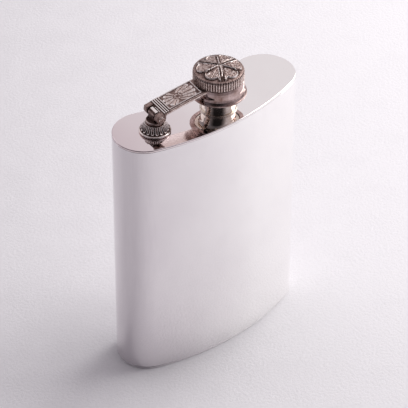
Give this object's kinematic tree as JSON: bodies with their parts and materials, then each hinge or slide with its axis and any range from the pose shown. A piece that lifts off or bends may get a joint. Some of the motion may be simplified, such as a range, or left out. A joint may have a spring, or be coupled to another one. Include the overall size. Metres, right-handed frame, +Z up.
{
  "type": "hip flask",
  "caption": "Curved pocket flask with a knurled screw cap held captive on a hinged ornamental arm beside the neck.",
  "frame": {"origin": "middle of the base's bounding rectangle, on the surface the flask stands on", "axes": "+Z up through the neck, +X along the width away from the hinge post, -Y towards the convex front"},
  "size_m": [0.095, 0.0336, 0.1444],
  "materials": {
    "polished_silver": "mirror polished",
    "neck_silver": "polished, slightly toned",
    "antique_silver": "oxidised casting with rubbed high spots",
    "brass_washer": "satin",
    "liner": "matt"
  },
  "bodies": {
    "flask": {"body_wall": "polished_silver", "base_plate": "polished_silver", "top_plate": "polished_silver", "pour_neck": "neck_silver", "neck_base_ring": "neck_silver", "post_foot_ring": "antique_silver", "post_bell": "antique_silver", "post_collar": "antique_silver", "post_knuckle": "antique_silver", "post_backing_washer": "neck_silver"},
    "arm": {"arm_strap": "antique_silver", "arm_ring": "antique_silver", "arm_relief_panel": "antique_silver", "arm_cross_bands": "antique_silver", "hinge_pin": "antique_silver", "glide_washer": "brass_washer"},
    "cap": {"cap_crown": "antique_silver", "clover_relief": "antique_silver", "cap_sleeve": "neck_silver", "cap_liner": "liner"}
  },
  "joints": [
    {"name": "arm_lift", "type": "hinge", "parent": "flask", "child": "arm", "pos_m": [-0.0297, 0.00046, 0.1316], "axis": [-0.1356, -0.9908, 0], "range_deg": [0, 120]},
    {"name": "cap_turn", "type": "hinge", "parent": "arm", "child": "cap", "pos_m": [0.0018, -0.00385, 0.1375], "axis": [0, 0, 1], "continuous": true}
  ]
}
